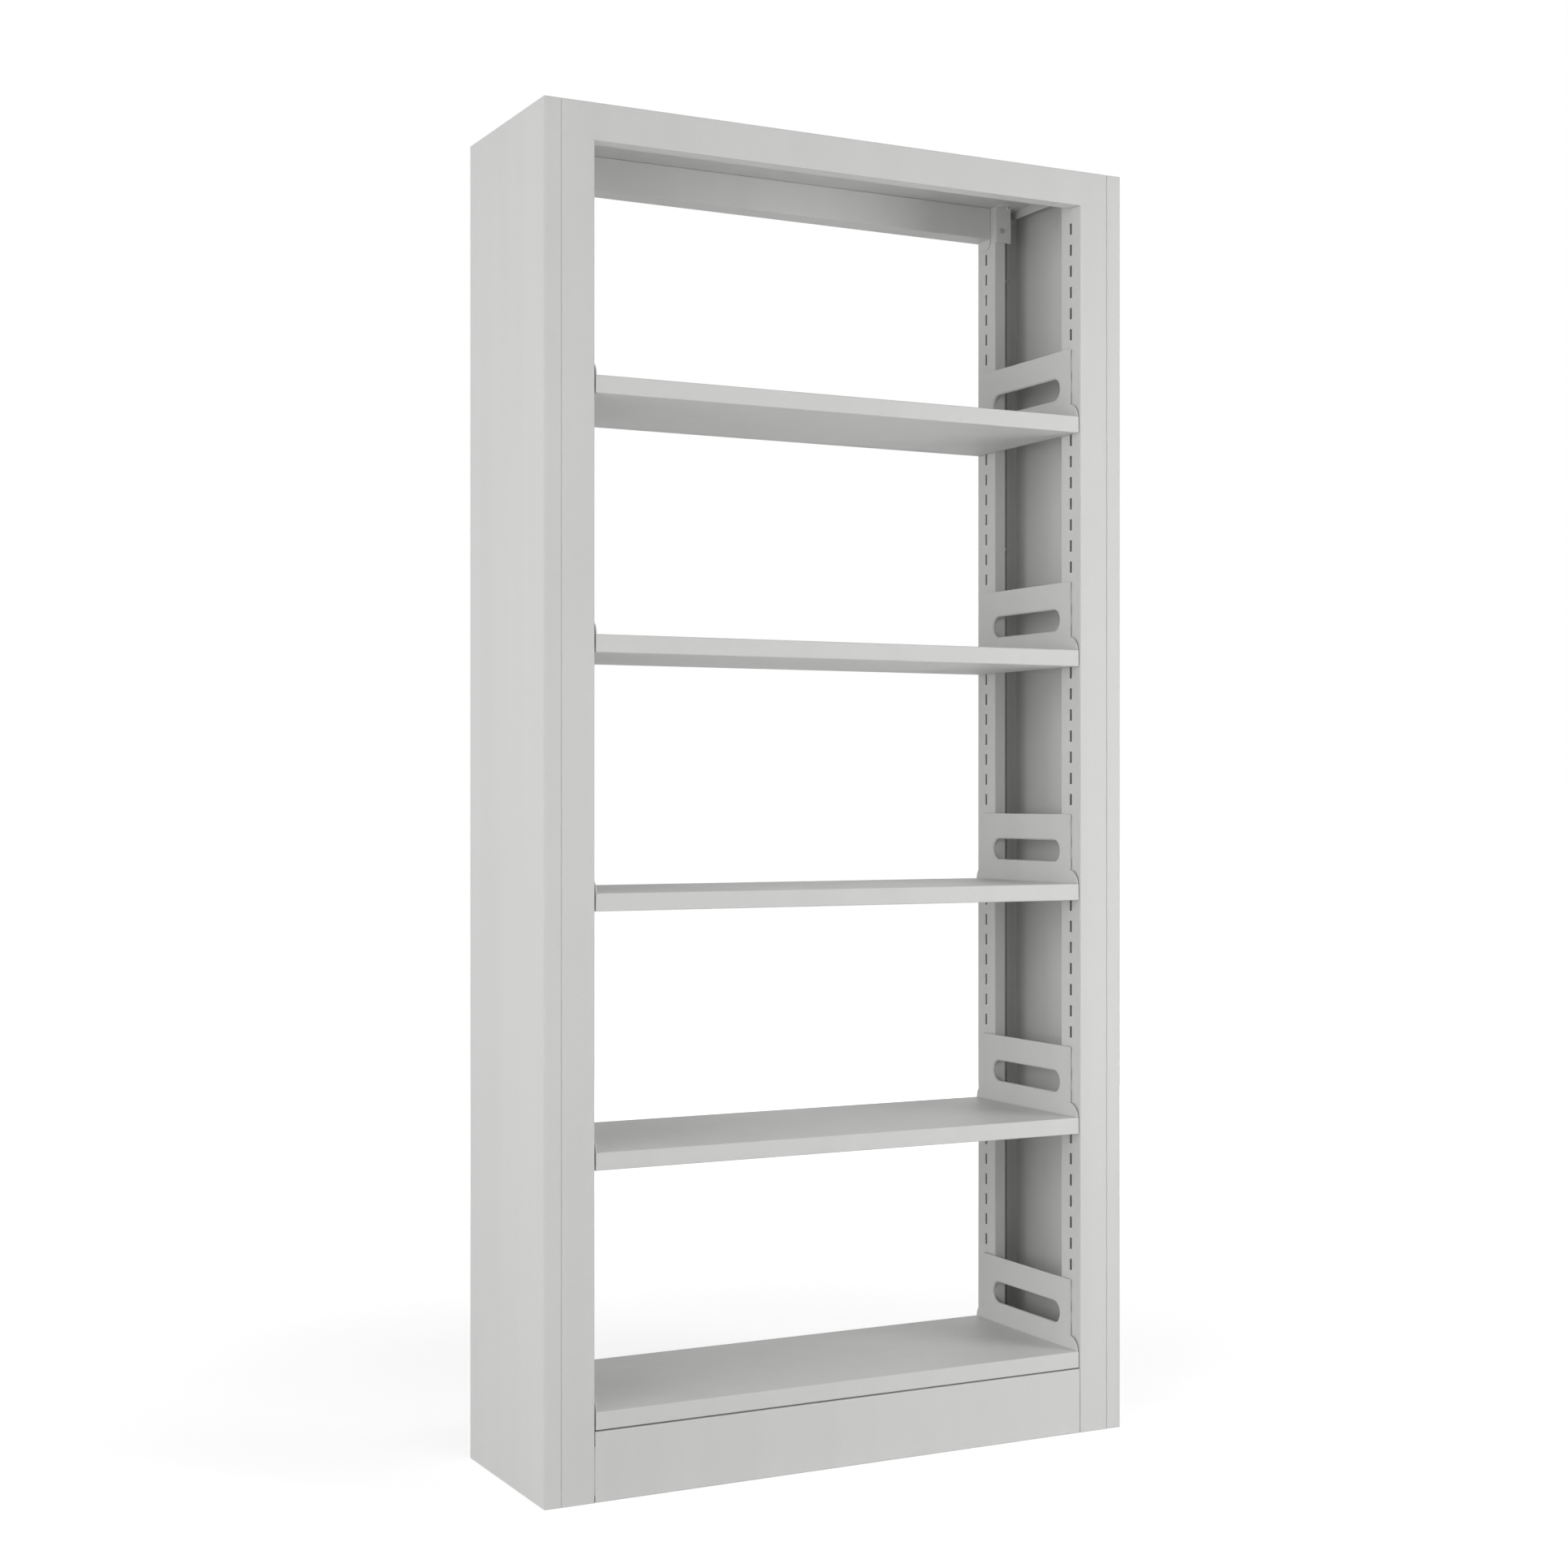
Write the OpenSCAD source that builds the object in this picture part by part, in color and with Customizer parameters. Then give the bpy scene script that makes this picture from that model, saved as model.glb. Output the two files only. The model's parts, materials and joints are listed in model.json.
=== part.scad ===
// Single-sided steel bookshelf.
// Two end frames, each of two slotted uprights under a folded side panel, carry five lipped
// boards on hooked brackets. A folded cover and a rear rail tie the top, two folded rails and
// two floor ties the foot. The back is open.
// The origin is the middle of the footprint on the floor. The front looks to -Y, +Z is up.

/* [Overall] */
// Width over both side panels
unit_w = 988; // [900:1:1200]
// Depth from the front face to the rear face
unit_d = 306; // [280:1:400]
// Height from the floor to the top of the cover
unit_h = 2000; // [1950:10:2300]

/* [Sheet metal] */
// Sheet of the side panels, the cover and the rails
panel_t = 1.2; // [1:0.1:1.6]
// Sheet of the slotted uprights
upright_t = 1.5; // [1.2:0.1:2]
// Sheet of the shelf boards
board_t = 1.2; // [0.8:0.1:1.5]
// Sheet of the pans that close the boards underneath
pan_t = 1; // [0.6:0.1:1.2]
// Sheet of the shelf brackets
bracket_t = 1.5; // [1.2:0.1:2]
// Plate of the top angles, the floor ties and the rails' end tabs
angle_t = 2; // [1.5:0.1:3]
// Inside radius of every bend
bend_r = 0.8; // [0.5:0.1:1.5]

/* [End frames] */
// Width of the side panel's folded edge, seen from the front
wrap_w = 27; // [22:1:34]
// Outside radius of the side panel's upright edges
wrap_r = 4; // [2:0.2:8]
// Depth of the flanges that meet along the seams
return_w = 14; // [12:1:18]
// Width of an upright's outer face
post_w = 51; // [46:1:60]
// Depth of an upright's slotted face
post_d = 54; // [48:1:70]
// Width of the lip along an upright's open edge
lip_w = 20; // [16:1:26]

/* [Slots] */
// Width of a slot
slot_w = 6; // [5:0.1:8]
// Height of a slot
slot_h = 18; // [16:1:22]
// Radius of a slot's corners
slot_r = 0.5; // [0.3:0.1:0.8]
// Distance from one slot to the next
slot_pitch = 33.7; // [30:0.1:36]
// Middle of the slot row behind the upright's face
slot_inset = 26.5; // [24:0.5:30]

/* [Shelves] */
// Number of shelves with the base shelf
shelf_count = 5; // [3:1:5]
// Slots from one shelf to the next
slots_per_shelf = 11; // [8:1:11]
// Height of a board's front and rear lips
lip_h = 26; // [24:1:36]
// Depth of the flange under each lip
lip_flange = 15; // [12:1:20]
// How far the lips stand back from the uprights' faces
lip_setback = 1; // [0.5:0.5:3]
// Gap from a lip's end to the upright
lip_gap = 2.2; // [1.5:0.1:3]
// Radius of the corners at a lip's ends
lip_corner_r = 2; // [1:0.5:5]

/* [Brackets] */
// How far a bracket's plate stands in from the upright
bracket_stand = 4; // [3.5:0.1:6]
// Slots from a bracket's lower hook to its upper hook
hook_span = 3; // [2:1:3]
// Height of the plate above the upper slot's middle
bracket_cap = 10.2; // [9:0.1:20]
// Depth of the lower slot's middle below the shelf's top
slot_below_top = 1.3; // [0:0.1:4]
// Length of the long hole
grip_l = 198; // [140:1:210]
// Height of the long hole
grip_h = 34; // [20:1:36]
// Height of the long hole's middle above the shelf
grip_z = 51; // [40:1:54]
// Width of the ledge under a board's end
ledge_w = 18; // [12:1:25]
// Height of a hook's neck
hook_neck = 8; // [6:0.5:9]
// Width of a hook's nose behind the upright's sheet
hook_nose = 2; // [1.5:0.1:3]
// Room above and below a hook as it passes through its slot
hook_room = 1; // [0.5:0.1:1.5]

/* [Top] */
// Height of the cover's front and rear faces
fascia_h = 54; // [44:1:80]
// Depth of the flange under the cover's front face
fascia_flange = 28; // [20:1:50]
// Height of that flange's turned-up edge
flange_edge = 10; // [6:1:20]
// Depth of the rail behind the cover's rear face
rail_d = 41; // [34:1:60]
// Height of the rail's edge against the cover's rear face
rail_edge = 40; // [34:1:42]
// How far the rail's end tabs reach below it
tab_drop = 16; // [10:1:20]
// Height of a top angle's upright leg
angle_leg = 60; // [48:1:80]
// Width of a top angle
angle_w = 28; // [24:1:36]
// Depth of a top angle's level leg
angle_d = 25; // [20:1:40]

/* [Base] */
// Height of the kick plate and the rear base rail
kick_h = 101; // [80:1:140]
// Depth of their flanges
kick_flange = 30; // [26:1:40]
// Width of a floor tie
tie_w = 44; // [36:1:46]
// Height of a floor tie
tie_h = 45; // [36:1:70]
// Diameter of the floor anchor holes
anchor_d = 11; // [8:1:13]
// Distance of an anchor hole from the tie's end
anchor_inset = 35; // [25:1:60]

/* [Fixings] */
// Diameter of the bolts and studs
bolt_d = 5; // [4:0.5:6]
// Width across the corners of a bolt head or nut
head_d = 9; // [8:0.5:10]
// Height of a bolt head
head_h = 3.2; // [2:0.1:4]
// Height of a nut
nut_h = 4; // [3:0.1:5]
// Diameter of the wall fixing holes
wall_hole_d = 7; // [5:0.5:9]
// Distance between the wall fixing holes
wall_hole_span = 600; // [300:10:700]

/* [Fits] */
// Gap between a board's end and the bracket's plate
end_gap = 0.8; // [0.4:0.1:1.5]
// Gap between pieces that slide past each other
slide_gap = 0.4; // [0.3:0.1:0.6]
// Gap beside a pan and at a hook strip's edge
seat_gap = 0.3; // [0.2:0.1:0.5]
// Gap between a kick plate's end and the upright
seam_gap = 0.8; // [0.4:0.1:1.5]
// Gap between the kick plate and the base shelf
kick_gap = 2; // [1:0.5:4]

/* [Hidden] */
$fn = 32;
// Overshoot of a cut past the face that it opens
cut = 1;
coat = [0.81, 0.82, 0.82];
coat_shade = [0.76, 0.77, 0.77];
zinc = [0.68, 0.7, 0.72];
// Distance from the unit's middle to the side panels' seams and to the uprights' slotted faces
seam_x = unit_w / 2 - wrap_w;
inner_x = seam_x - post_w;
end_w = wrap_w + post_w;
// Slotted row: the lowest slot serves the base shelf, the highest stays under the rail's tabs
base_top = kick_h + kick_gap + lip_h;
shelf_pitch = slots_per_shelf * slot_pitch;
slot_first = base_top - slot_below_top;
slot_margin = 3;
slot_limit = unit_h - fascia_h - tab_drop - slot_margin - slot_h / 2;
slot_last = floor((slot_limit - slot_first) / slot_pitch);
// Board: its lips, its body between the bracket plates and its depth over the lips
lip_x = inner_x - lip_gap;
plate_x = inner_x - bracket_stand;
body_x = plate_x - end_gap;
board_d = unit_d - 2 * lip_setback;
board_r = board_t + bend_r;
pan_x = plate_x - ledge_w - slide_gap;
pan_d = board_d - 2 * (lip_flange + seat_gap);
// Bracket: the plate's front edge behind the lip, its hook strips, which cover the slots and
// stand clear of their rounded outer corners, and the heights over its foot
plate_front = lip_setback + board_t + slide_gap;
row_y = unit_d / 2 - slot_inset + slot_w / 2 - slot_r - bracket_t / 2;
strip_y = row_y + bracket_t / 2;
shoulder_r = unit_d / 2 - plate_front - strip_y;
hook_low = lip_h - slot_below_top;
bracket_h = hook_low + hook_span * slot_pitch + bracket_cap;
// Hook: the drop of its nose below the neck and its reach past the upright's sheet
hook_drop = slot_h - hook_neck - 2 * hook_room;
hook_in = bracket_stand + upright_t + slide_gap;
nose_bevel = 0.8;
// Half the ledge's length, and the slit at each of its ends
ledge_y = unit_d / 2 - lip_setback - lip_flange - 2 * seat_gap;
relief_w = 1.2;
// Long hole: half its straight part, and the rim that turns from its edge toward the upright
grip_half = (grip_l - grip_h) / 2;
grip_rim = bracket_stand - slide_gap;
// Top: the cover's lower edge, the underside of its sheet and the rail's flange against it
cover_under = unit_h - panel_t;
fascia_z = unit_h - fascia_h;
cover_r = panel_t + bend_r;
rail_top_flange = 18;
// Wall fixing holes, under the upper edge of the rail's rear leaf
wall_hole_drop = 13;
wall_hole_z = fascia_z + rail_edge - wall_hole_drop;
// Top angles and floor ties stand clear of the slotted faces' bend
lip_piece_inset = 2;
lip_piece_u = end_w - lip_piece_inset;
stud_u = lip_piece_u - angle_w / 2;
stud_inset = 15;
stud_v = post_d + stud_inset;
// Bolts: play in the holes and the nuts, and the thread that stands past a nut
hole_d = bolt_d + 0.5;
nut_bore = bolt_d + 0.2;
bolt_end = 1;
// Bolts along the seams between the side panels and the uprights
seam_bolts = 5;
seam_bolt_v = 8.5;
seam_bolt_edge = 60;
// Bolts through the uprights' lips, at the floor ties and at the top angles
lip_bolt_inset = 10.5;
lip_bolt_u = end_w - lip_bolt_inset;
tie_bolt_z = 26;
angle_bolt_rise = 12;
angle_bolt_z = fascia_z + angle_bolt_rise;
// End tabs of the rails and the bolts through them
tab_v = 6;
tab_corner = 8;
tab_bolt_v = 19;
kick_tab_z = 8;
kick_bolt_edge = 28;
rail_bolt_rise = 12;
rail_bolt_step = 22;

function shelf_top(n) = base_top + (n - 1) * shelf_pitch;
function slot_z(i) = slot_first + i * slot_pitch;
function unit_vector(v) = v / norm(v);
function seam_bolt_z(i) =
    seam_bolt_edge + i * (fascia_z - 2 * seam_bolt_edge) / (seam_bolts - 1);
function kick_bolt_z(i) = kick_bolt_edge + i * (kick_h - 2 * kick_bolt_edge);
function rail_bolt_z(i) = fascia_z + rail_bolt_rise + i * rail_bolt_step;

// Rectangle with true arcs at its corners
module rounded_rect(w, h, r) {
    translate([r, 0]) square([w - 2 * r, h]);
    translate([0, r]) square([w, h - 2 * r]);
    for (x = [r, w - r], y = [r, h - r]) translate([x, y]) circle(r);
}

// Outline in the YZ plane pushed along X
module along_x(length) {
    rotate([90, 0, 90]) linear_extrude(length) children();
}

// Outline in the XZ plane pushed along Y
module along_y(length) {
    translate([0, length, 0]) rotate([90, 0, 0]) linear_extrude(length) children();
}

// Block with all its edges rounded by the same radius
module rounded_block(size, r) {
    intersection() {
        linear_extrude(size.z) rounded_rect(size.x, size.y, r);
        along_x(size.x) rounded_rect(size.y, size.z, r);
        along_y(size.y) rounded_rect(size.x, size.z, r);
    }
}

// Closed box of sheet with rounded edges
module sheet_box(size, t, r) {
    difference() {
        rounded_block(size, t + r);
        translate([t, t, t]) rounded_block(size - [2, 2, 2] * t, r);
    }
}

// Block with its edges rounded, whose upright edges at X = 0 have a radius of their own
module panel_block(size, r, outer_r) {
    intersection() {
        linear_extrude(size.z) for (half = [0, 1]) intersection() {
            rounded_rect(size.x, size.y, half == 0 ? outer_r : r);
            translate([half * size.x / 2, 0]) square([size.x / 2, size.y]);
        }
        along_x(size.x) rounded_rect(size.y, size.z, r);
        along_y(size.y) rounded_rect(size.x, size.z, r);
    }
}

// Section of a sheet folded square at each inner point of a path along its middle line
module folded(path, t, r) {
    mid_r = r + t / 2;
    last = len(path) - 1;
    for (i = [0 : last - 1]) {
        way = unit_vector(path[i + 1] - path[i]);
        side = [-way.y, way.x] * t / 2;
        from = path[i] + way * (i == 0 ? 0 : mid_r);
        to = path[i + 1] - way * (i == last - 1 ? 0 : mid_r);
        polygon([from - side, to - side, to + side, from + side]);
    }
    for (i = [1 : last - 1]) {
        way_in = unit_vector(path[i] - path[i - 1]);
        way_out = unit_vector(path[i + 1] - path[i]);
        centre = path[i] + (way_out - way_in) * mid_r;
        reach = mid_r + t;
        intersection() {
            translate(centre) difference() {
                circle(mid_r + t / 2);
                circle(mid_r - t / 2);
            }
            polygon([
                centre,
                centre + way_in * reach,
                centre + (way_in - way_out) * reach,
                centre - way_out * reach
            ]);
        }
    }
}

// Corner frame: X runs in from the unit's side, Y runs in from its front or rear face
module at_corner(side, end) {
    mirror([side == "right" ? 1 : 0, 0, 0])
        mirror([0, end == "rear" ? 1 : 0, 0])
            translate([-unit_w / 2, -unit_d / 2, 0])
                children();
}

// Side frame: what is drawn at +X goes to the named side
module at_side(side) {
    mirror([side == "left" ? 1 : 0, 0, 0]) children();
}

module at_corners() {
    for (side = ["left", "right"], end = ["front", "rear"]) at_corner(side, end) children();
}

// Places for a bolt: its head rests at the local origin and its shank runs along +Z
module seam_bolt_places() {
    for (i = [0 : seam_bolts - 1])
        translate([wrap_w - panel_t, seam_bolt_v, seam_bolt_z(i)]) rotate([0, 90, 0]) children();
}

module kick_bolt_places() {
    for (i = [0, 1])
        translate([end_w + angle_t, tab_bolt_v, kick_bolt_z(i)]) rotate([0, -90, 0]) children();
}

module rail_bolt_places() {
    for (i = [0, 1])
        translate([end_w + angle_t, tab_bolt_v, rail_bolt_z(i)]) rotate([0, -90, 0]) children();
}

module lip_bolt_places() {
    for (z = [tie_bolt_z, angle_bolt_z])
        translate([lip_bolt_u, post_d + angle_t, z]) rotate([90, 0, 0]) children();
}

module stud_place() {
    translate([stud_u, stud_v, cover_under]) rotate([180, 0, 0]) children();
}

module bolt(grip) {
    translate([0, 0, -head_h]) cylinder(h = head_h, d = head_d, $fn = 6);
    cylinder(h = grip + nut_h + bolt_end, d = bolt_d);
}

module nut(grip) {
    translate([0, 0, grip]) difference() {
        cylinder(h = nut_h, d = head_d, $fn = 6);
        translate([0, 0, -cut]) cylinder(h = nut_h + 2 * cut, d = nut_bore);
    }
}

module bolt_hole(grip) {
    translate([0, 0, -cut]) cylinder(h = grip + 2 * cut, d = hole_d);
}

// Shallow steel box, open on its inner side but for a rim that meets the uprights and the cover
module side_panel(side) {
    size = [wrap_w, unit_d, unit_h];
    color(coat) difference() {
        at_corner(side, "front") difference() {
            panel_block(size, panel_t + bend_r, wrap_r);
            translate([1, 1, 1] * panel_t)
                panel_block(size - [2, 2, 2] * panel_t, bend_r, wrap_r - panel_t);
            translate([wrap_w - panel_t - cut, return_w, return_w])
                cube([panel_t + 2 * cut, unit_d - 2 * return_w, unit_h - 2 * return_w]);
        }
        for (end = ["front", "rear"])
            at_corner(side, end) seam_bolt_places() bolt_hole(panel_t);
    }
}

// Lipped channel with a row of slots in the face that looks into the unit
module upright(side, end) {
    half = upright_t / 2;
    color(coat_shade) at_corner(side, end) difference() {
        linear_extrude(cover_under)
            folded([
                [wrap_w + half, return_w],
                [wrap_w + half, half],
                [end_w - half, half],
                [end_w - half, post_d - half],
                [end_w - lip_w, post_d - half]
            ], upright_t, bend_r);
        upright_notch();
        for (i = [0 : slot_last])
            translate([end_w - upright_t - cut, slot_inset - slot_w / 2, slot_z(i) - slot_h / 2])
                along_x(upright_t + 2 * cut) rounded_rect(slot_w, slot_h, slot_r);
        translate([panel_t, 0, 0]) seam_bolt_places() bolt_hole(upright_t);
        kick_bolt_places() bolt_hole(angle_t + upright_t);
        if (end == "rear") rail_bolt_places() bolt_hole(angle_t + upright_t);
        lip_bolt_places() bolt_hole(angle_t + upright_t);
    }
}

// Room at an upright's top for the cover's face and the flange at its end
module upright_notch() {
    translate([wrap_w - cut, -cut, fascia_z])
        cube([post_w + 2 * cut, panel_t + seat_gap + cut, fascia_h]);
    translate([wrap_w - cut, -cut, fascia_z])
        cube([post_w - upright_t + cut, return_w + seat_gap + cut, fascia_h]);
}

// Folded cover: top sheet, front and rear faces, and a flange under the front face
module top_cover() {
    color(coat) difference() {
        union() {
            cover_shell();
            cover_front_flange();
            at_corners() stud_place() cylinder(h = angle_t + nut_h + bolt_end, d = bolt_d);
        }
        wall_holes();
    }
}

// Box without its bottom sheet, whose ends are open but for a rim along the side panels' rims
module cover_shell() {
    difference() {
        translate([-seam_x, -unit_d / 2, fascia_z])
            sheet_box([2 * seam_x, unit_d, fascia_h], panel_t, bend_r);
        for (end = [-1, 1])
            translate([-seam_x - cut, end * (unit_d - cover_r) / 2 - cover_r / 2 - cut, fascia_z - cut])
                cube([2 * (seam_x + cut), cover_r + 2 * cut, cover_r + cut]);
        translate([-seam_x - cut, -unit_d / 2 + return_w, fascia_z - cut])
            cube([2 * (seam_x + cut), unit_d - 2 * return_w, fascia_h - return_w + cut]);
        translate([-seam_x + panel_t, -unit_d / 2 + panel_t, fascia_z - cut])
            cube([2 * (seam_x - panel_t), unit_d - 2 * panel_t, cover_r + cut]);
    }
    for (end = [-1, 1]) cover_face_foot(end);
}

// Square lower edge of a cover face, which meets the uprights' faces
module cover_face_foot(end) {
    intersection() {
        translate([0, 0, fascia_z]) linear_extrude(cover_r)
            translate([-seam_x, -unit_d / 2]) difference() {
                rounded_rect(2 * seam_x, unit_d, cover_r);
                translate([panel_t, panel_t])
                    rounded_rect(2 * (seam_x - panel_t), unit_d - 2 * panel_t, bend_r);
            }
        translate([-seam_x, end * (unit_d / 2 - return_w / 2) - return_w / 2, fascia_z])
            cube([2 * seam_x, return_w, cover_r]);
    }
}

module cover_front_flange() {
    half = panel_t / 2;
    length = 2 * (inner_x - seam_gap);
    translate([-length / 2, -unit_d / 2, fascia_z]) along_x(length)
        folded([
            [fascia_flange - half, flange_edge],
            [fascia_flange - half, half],
            [half, half],
            [half, cover_r * 2]
        ], panel_t, bend_r);
}

module wall_holes() {
    for (x = [-1, 1] * wall_hole_span / 2)
        translate([x, unit_d / 2 + cut, wall_hole_z]) rotate([90, 0, 0])
            cylinder(h = 2 * (panel_t + cut), d = wall_hole_d);
}

// Tab that bolts a rail's end to the slotted face, drawn in a corner frame
module end_tab(low, high, depth) {
    translate([end_w, tab_v, low]) along_x(angle_t) difference() {
        square([depth, high - low]);
        polygon([[-cut, tab_corner], [tab_corner + cut, -cut], [-cut, -cut]]);
        polygon([
            [depth + cut, tab_corner],
            [depth + cut, -cut],
            [depth - tab_corner - cut, -cut]
        ]);
    }
}

// Folded rail that closes the cover's rear face into a box, with a tab at each end
module rear_top_rail() {
    half = panel_t / 2;
    length = 2 * (inner_x - seam_gap);
    rear = unit_d / 2;
    color(coat_shade) difference() {
        union() {
            translate([-length / 2, 0, 0]) along_x(length)
                folded([
                    [rear - panel_t - half, fascia_z + rail_edge],
                    [rear - panel_t - half, fascia_z + half],
                    [rear - rail_d + half, fascia_z + half],
                    [rear - rail_d + half, cover_under - half],
                    [rear - rail_d + rail_top_flange, cover_under - half]
                ], panel_t, bend_r);
            for (side = ["left", "right"])
                at_corner(side, "rear")
                    end_tab(fascia_z - tab_drop, cover_under - panel_t, rail_d - tab_v - half);
        }
        wall_holes();
        for (side = ["left", "right"])
            at_corner(side, "rear") rail_bolt_places() bolt_hole(angle_t);
    }
}

// Angle that hangs the cover on an upright's lip
module top_angle(side, end) {
    color(coat_shade) at_corner(side, end) difference() {
        translate([lip_piece_u - angle_w, post_d, cover_under - angle_leg]) union() {
            cube([angle_w, angle_t, angle_leg]);
            translate([0, 0, angle_leg - angle_t]) cube([angle_w, angle_d, angle_t]);
        }
        lip_bolt_places() bolt_hole(angle_t);
        stud_place() bolt_hole(angle_t);
    }
}

// Folded rail at the floor, with a tab at each end against the slotted faces
module base_rail(end) {
    half = panel_t / 2;
    length = 2 * (inner_x - seam_gap);
    mirror([0, end == "rear" ? 1 : 0, 0]) difference() {
        union() {
            translate([-length / 2, -unit_d / 2, 0]) along_x(length)
                folded([
                    [kick_flange, half],
                    [half, half],
                    [half, kick_h - half],
                    [kick_flange, kick_h - half]
                ], panel_t, bend_r);
            for (side = ["left", "right"])
                at_corner(side, "front")
                    translate([end_w, tab_v, kick_tab_z])
                        cube([angle_t, kick_flange - tab_v, kick_h - kick_tab_z]);
        }
        for (side = ["left", "right"])
            at_corner(side, "front") kick_bolt_places() bolt_hole(angle_t);
    }
}

module kick_plate() {
    color(coat) base_rail("front");
}

module rear_base_rail() {
    color(coat_shade) base_rail("rear");
}

// Open tray between the feet of a front and a rear upright, with holes for floor anchors
module floor_tie(side) {
    length = unit_d - 2 * post_d;
    color(coat_shade) difference() {
        at_corner(side, "front")
            translate([lip_piece_u - tie_w, post_d, 0]) difference() {
                cube([tie_w, length, tie_h]);
                translate([angle_t, angle_t, angle_t])
                    cube([tie_w - 2 * angle_t, length - 2 * angle_t, tie_h]);
                for (y = [anchor_inset, length - anchor_inset])
                    translate([tie_w / 2, y, -cut]) cylinder(h = angle_t + 2 * cut, d = anchor_d);
            }
        for (end = ["front", "rear"])
            at_corner(side, end) lip_bolt_places() bolt_hole(angle_t);
    }
}

// Board with lips and flanges along its front and rear edges and a flange down each end
module shelf_board(n) {
    color(coat) translate([0, 0, shelf_top(n) - lip_h]) {
        difference() {
            intersection() {
                translate([-lip_x, -board_d / 2, 0]) along_x(2 * lip_x) board_section();
                translate([-lip_x, -board_d / 2, 0])
                    along_y(board_d) rounded_rect(2 * lip_x, lip_h, lip_corner_r);
            }
            for (side = ["left", "right"])
                at_side(side)
                    translate([body_x, board_t - board_d / 2, -cut])
                        cube([lip_x - body_x + cut, board_d - 2 * board_t, lip_h + 2 * cut]);
        }
        for (side = ["left", "right"])
            at_side(side)
                translate([body_x - board_t, (board_t - board_d) / 2, bracket_t])
                    cube([board_t, board_d - board_t, lip_h - bracket_t - board_t / 2]);
    }
}

module board_section() {
    difference() {
        rounded_rect(board_d, lip_h, board_r);
        translate([board_t, board_t])
            rounded_rect(board_d - 2 * board_t, lip_h - 2 * board_t, bend_r);
        translate([lip_flange, -cut]) square([board_d - 2 * lip_flange, board_t + 2 * cut]);
    }
}

// Tray spot-welded under a board, flush with its flanges
module shelf_pan(n) {
    height = lip_h - board_t;
    size = [2 * pan_x, pan_d, height + 2 * (pan_t + bend_r)];
    color(coat_shade) translate([-pan_x, -pan_d / 2, shelf_top(n) - lip_h]) difference() {
        sheet_box(size, pan_t, bend_r);
        translate([-cut, -cut, height]) cube(size + [2, 2, 2] * cut);
    }
}

// Plate with rounded shoulders, a rimmed long hole, a ledge under the board and a hook strip
// along each slot row
module bracket(side, n) {
    color(coat) at_side(side) translate([plate_x, 0, shelf_top(n) - lip_h]) {
        difference() {
            union() {
                bracket_plate();
                bracket_ledge();
                for (end = [-1, 1], i = [0, hook_span])
                    translate([0, end * row_y - bracket_t / 2, hook_low + i * slot_pitch])
                        along_y(bracket_t) hook();
            }
            translate([-cut, 0, lip_h + grip_z]) along_x(bracket_t + 2 * cut) grip_cut();
        }
        translate([0, 0, lip_h + grip_z]) grip_edge();
    }
}

module bracket_plate() {
    strip_x = bracket_stand - seat_gap;
    half = bracket_t / 2;
    width = unit_d - 2 * plate_front;
    path = [[strip_x, -row_y], [half, -row_y], [half, row_y], [strip_x, row_y]];
    linear_extrude(bracket_h) folded(path, bracket_t, bend_r);
    difference() {
        along_x(bracket_t) {
            translate([-width / 2, 0]) square([width, lip_h]);
            for (y = [-1, 1] * strip_y) translate([y, lip_h]) circle(shoulder_r, $fn = 96);
        }
        translate([-cut, -ledge_y - relief_w, -cut])
            cube([bracket_t + 2 * cut, 2 * (ledge_y + relief_w), cut + bracket_t + bend_r]);
    }
}

module bracket_ledge() {
    half = bracket_t / 2;
    translate([0, -ledge_y, 0]) along_y(2 * ledge_y)
        folded([[-ledge_w, half], [half, half], [half, lip_h / 2]], bracket_t, bend_r);
}

// Hook from the strip's edge, through the slot and down behind the upright's sheet,
// about the slot's middle
module hook() {
    foot = -slot_h / 2;
    tip = hook_in + hook_nose;
    polygon([
        [bracket_t, foot],
        [hook_in, foot],
        [hook_in, foot - hook_drop + nose_bevel],
        [hook_in + nose_bevel, foot - hook_drop],
        [tip, foot - hook_drop],
        [tip, foot + hook_neck - nose_bevel],
        [tip - nose_bevel, foot + hook_neck],
        [bracket_t, foot + hook_neck]
    ]);
}

// Cut in the flat plate, up to where the long hole's rim starts to turn
module grip_cut() {
    height = grip_h + 2 * grip_rim;
    translate([-grip_half, -height / 2]) square([2 * grip_half, height]);
    for (y = [-grip_half, grip_half]) translate([y, 0]) circle(d = height, $fn = 64);
}

// Rim pressed round the long hole: its sheet turns through a quarter circle
module grip_edge() {
    for (end = [0, 1]) mirror([0, end, 0]) translate([0, grip_half, 0]) rotate([0, 90, 0])
        rotate_extrude(angle = 180, $fn = 64) grip_section();
    for (edge = [0, 1]) mirror([0, 0, edge]) translate([0, -grip_half, 0])
        along_y(2 * grip_half) mirror([1, -1]) grip_section();
}

// Section of the rim: X runs out from the hole's middle line, Y runs toward the upright
module grip_section() {
    start = grip_h / 2 + grip_rim;
    intersection() {
        translate([start, grip_rim]) difference() {
            circle(grip_rim);
            circle(grip_rim - bracket_t);
        }
        translate([grip_h / 2, 0]) square(grip_rim);
    }
    translate([start, 0]) square([cut, bracket_t]);
}

module seam_bolts_group() {
    color(zinc) at_corners() seam_bolt_places() bolt(panel_t + upright_t);
}

module seam_nuts_group() {
    color(zinc) at_corners() seam_bolt_places() nut(panel_t + upright_t);
}

module tab_bolts_group() {
    color(zinc) at_corners() kick_bolt_places() bolt(angle_t + upright_t);
    color(zinc) for (side = ["left", "right"])
        at_corner(side, "rear") rail_bolt_places() bolt(angle_t + upright_t);
}

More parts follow.
